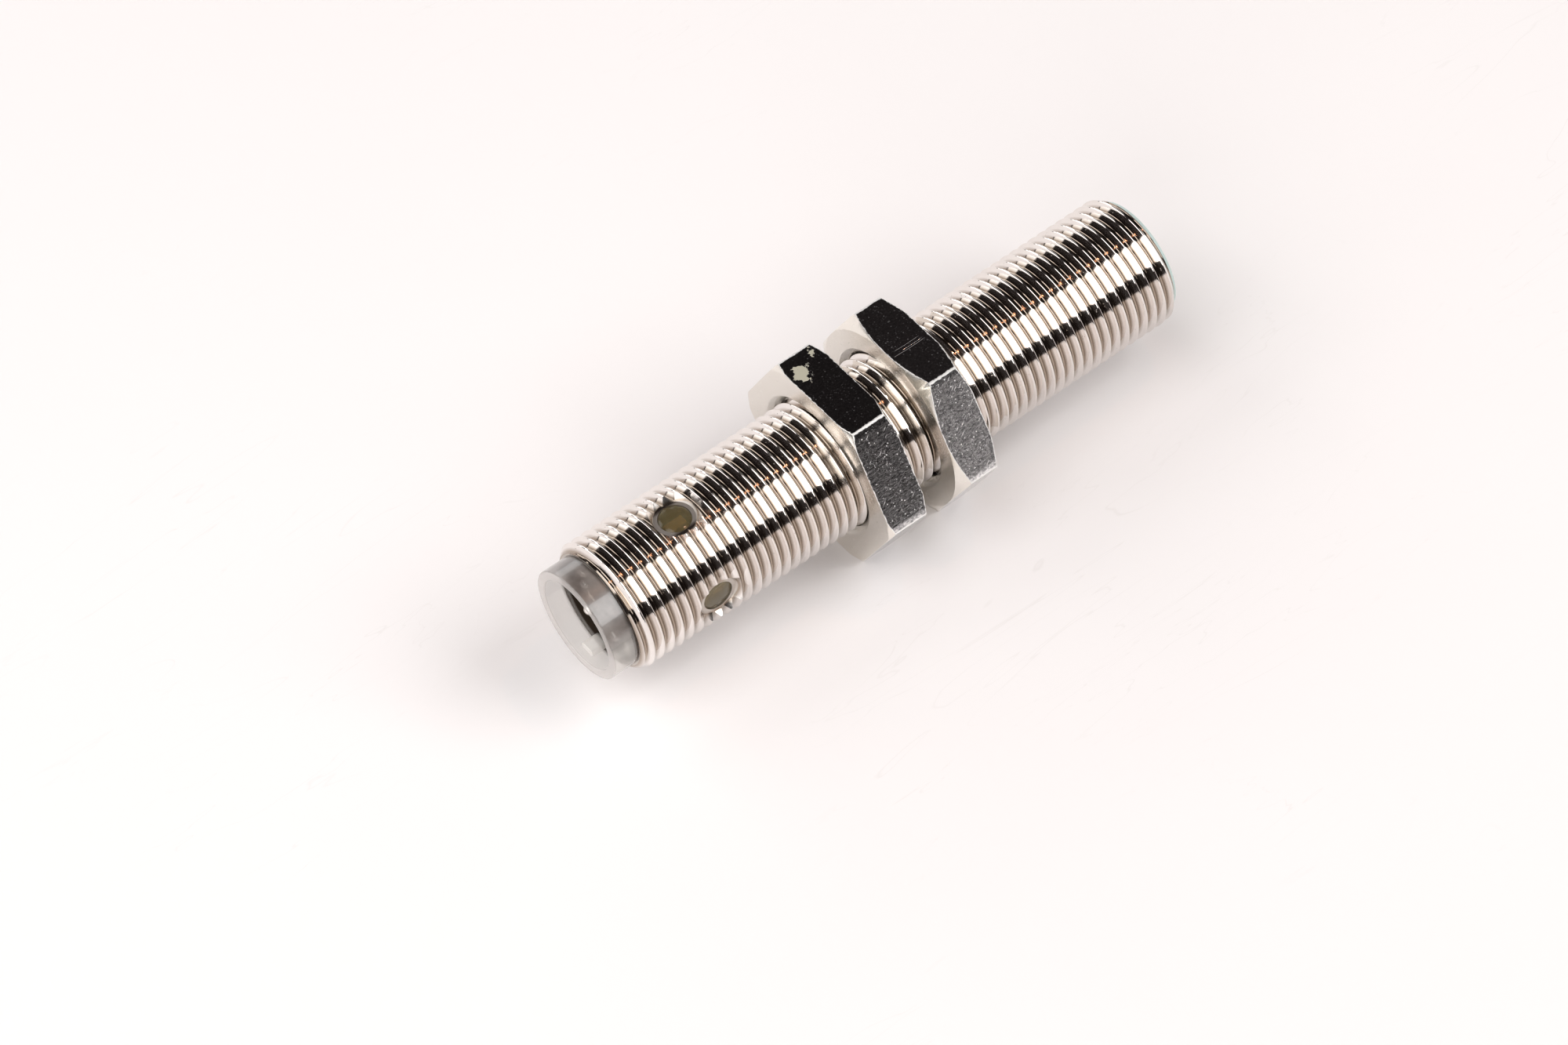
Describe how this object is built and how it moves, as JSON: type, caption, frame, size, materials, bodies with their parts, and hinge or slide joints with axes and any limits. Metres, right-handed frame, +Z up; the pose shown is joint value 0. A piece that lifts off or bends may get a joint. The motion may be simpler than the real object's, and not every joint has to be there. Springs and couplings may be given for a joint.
{
  "type": "proximity sensor",
  "caption": "Inductive proximity sensor in a threaded metal barrel with hexagon mounting nuts, indicator windows, a pin connector at one end and a flush sensing face at the other.",
  "frame": {"origin": "on the surface that the sensor lies on, under the middle of the barrel's length and on the barrel's centre line", "axes": "+X along the barrel from the connector towards the sensing face, +Z up, away from the surface the nuts' flats rest on, +Y to the left when looking along +X"},
  "size_m": [0.0592, 0.0196, 0.017],
  "materials": {
    "nickel_barrel": "nickel-plated brass, bright, machined thread",
    "nickel_nut": "nickel-plated brass, drawn flats with fine scratches",
    "clear_insert": "clear moulded plastic, slightly frosted",
    "window_resin": "clear resin that looks olive over a dark inside",
    "teal_cap": "satin pale teal plastic",
    "contact_metal": "plated, polished",
    "tinned_wire": "tinned copper, satin",
    "copper_wire": "enamelled copper, satin",
    "circuit_board": "glass-fibre board, satin",
    "component_black": "moulded black, matt",
    "capacitor_ceramic": "fired ceramic, matt",
    "led_body": "clear yellow, gloss",
    "potting_resin": "cast resin, satin",
    "ferrite": "pressed ferrite, matt",
    "bobbin_plastic": "moulded, matt",
    "carrier_plastic": "moulded, matt"
  },
  "bodies": {
    "sensor_body": {"housing_barrel": "nickel_barrel", "connector_insert": "clear_insert", "led_ring_board": "circuit_board", "circuit_board": "circuit_board", "surge_diode": "component_black", "voltage_regulator": "component_black", "output_transistor": "component_black", "load_resistor": "component_black", "feedback_resistor": "component_black", "distance_trim_resistor": "component_black", "oscillator_ic": "component_black", "filter_capacitor_1": "capacitor_ceramic", "filter_capacitor_2": "capacitor_ceramic", "tuning_capacitor": "capacitor_ceramic", "potting_plug": "potting_resin", "sensing_face_cap": "teal_cap", "ferrite_core": "ferrite", "coil_bobbin": "bobbin_plastic", "coil_winding": "copper_wire", "shield_ring": "copper_wire", "core_carrier": "carrier_plastic", "coil_lead_1": "copper_wire", "coil_lead_2": "copper_wire", "contact_pin_1": "contact_metal", "led_window_1": "window_resin", "status_led_1": "led_body", "pin_lead_1": "tinned_wire", "contact_pin_2": "contact_metal", "led_window_2": "window_resin", "status_led_2": "led_body", "pin_lead_2": "tinned_wire", "contact_pin_3": "contact_metal", "led_window_3": "window_resin", "status_led_3": "led_body", "pin_lead_3": "tinned_wire", "contact_pin_4": "contact_metal", "led_window_4": "window_resin", "status_led_4": "led_body", "pin_lead_4": "tinned_wire"},
    "rear_nut": {"rear_nut": "nickel_nut"},
    "front_nut": {"front_nut": "nickel_nut"}
  },
  "joints": [
    {"name": "rear_nut_travel", "type": "slide", "parent": "sensor_body", "child": "rear_nut", "axis": [1, 0, 0], "range_m": [-0.0215, 0.0016]},
    {"name": "front_nut_travel", "type": "slide", "parent": "sensor_body", "child": "front_nut", "axis": [1, 0, 0], "range_m": [-0.0016, 0.0215]}
  ]
}
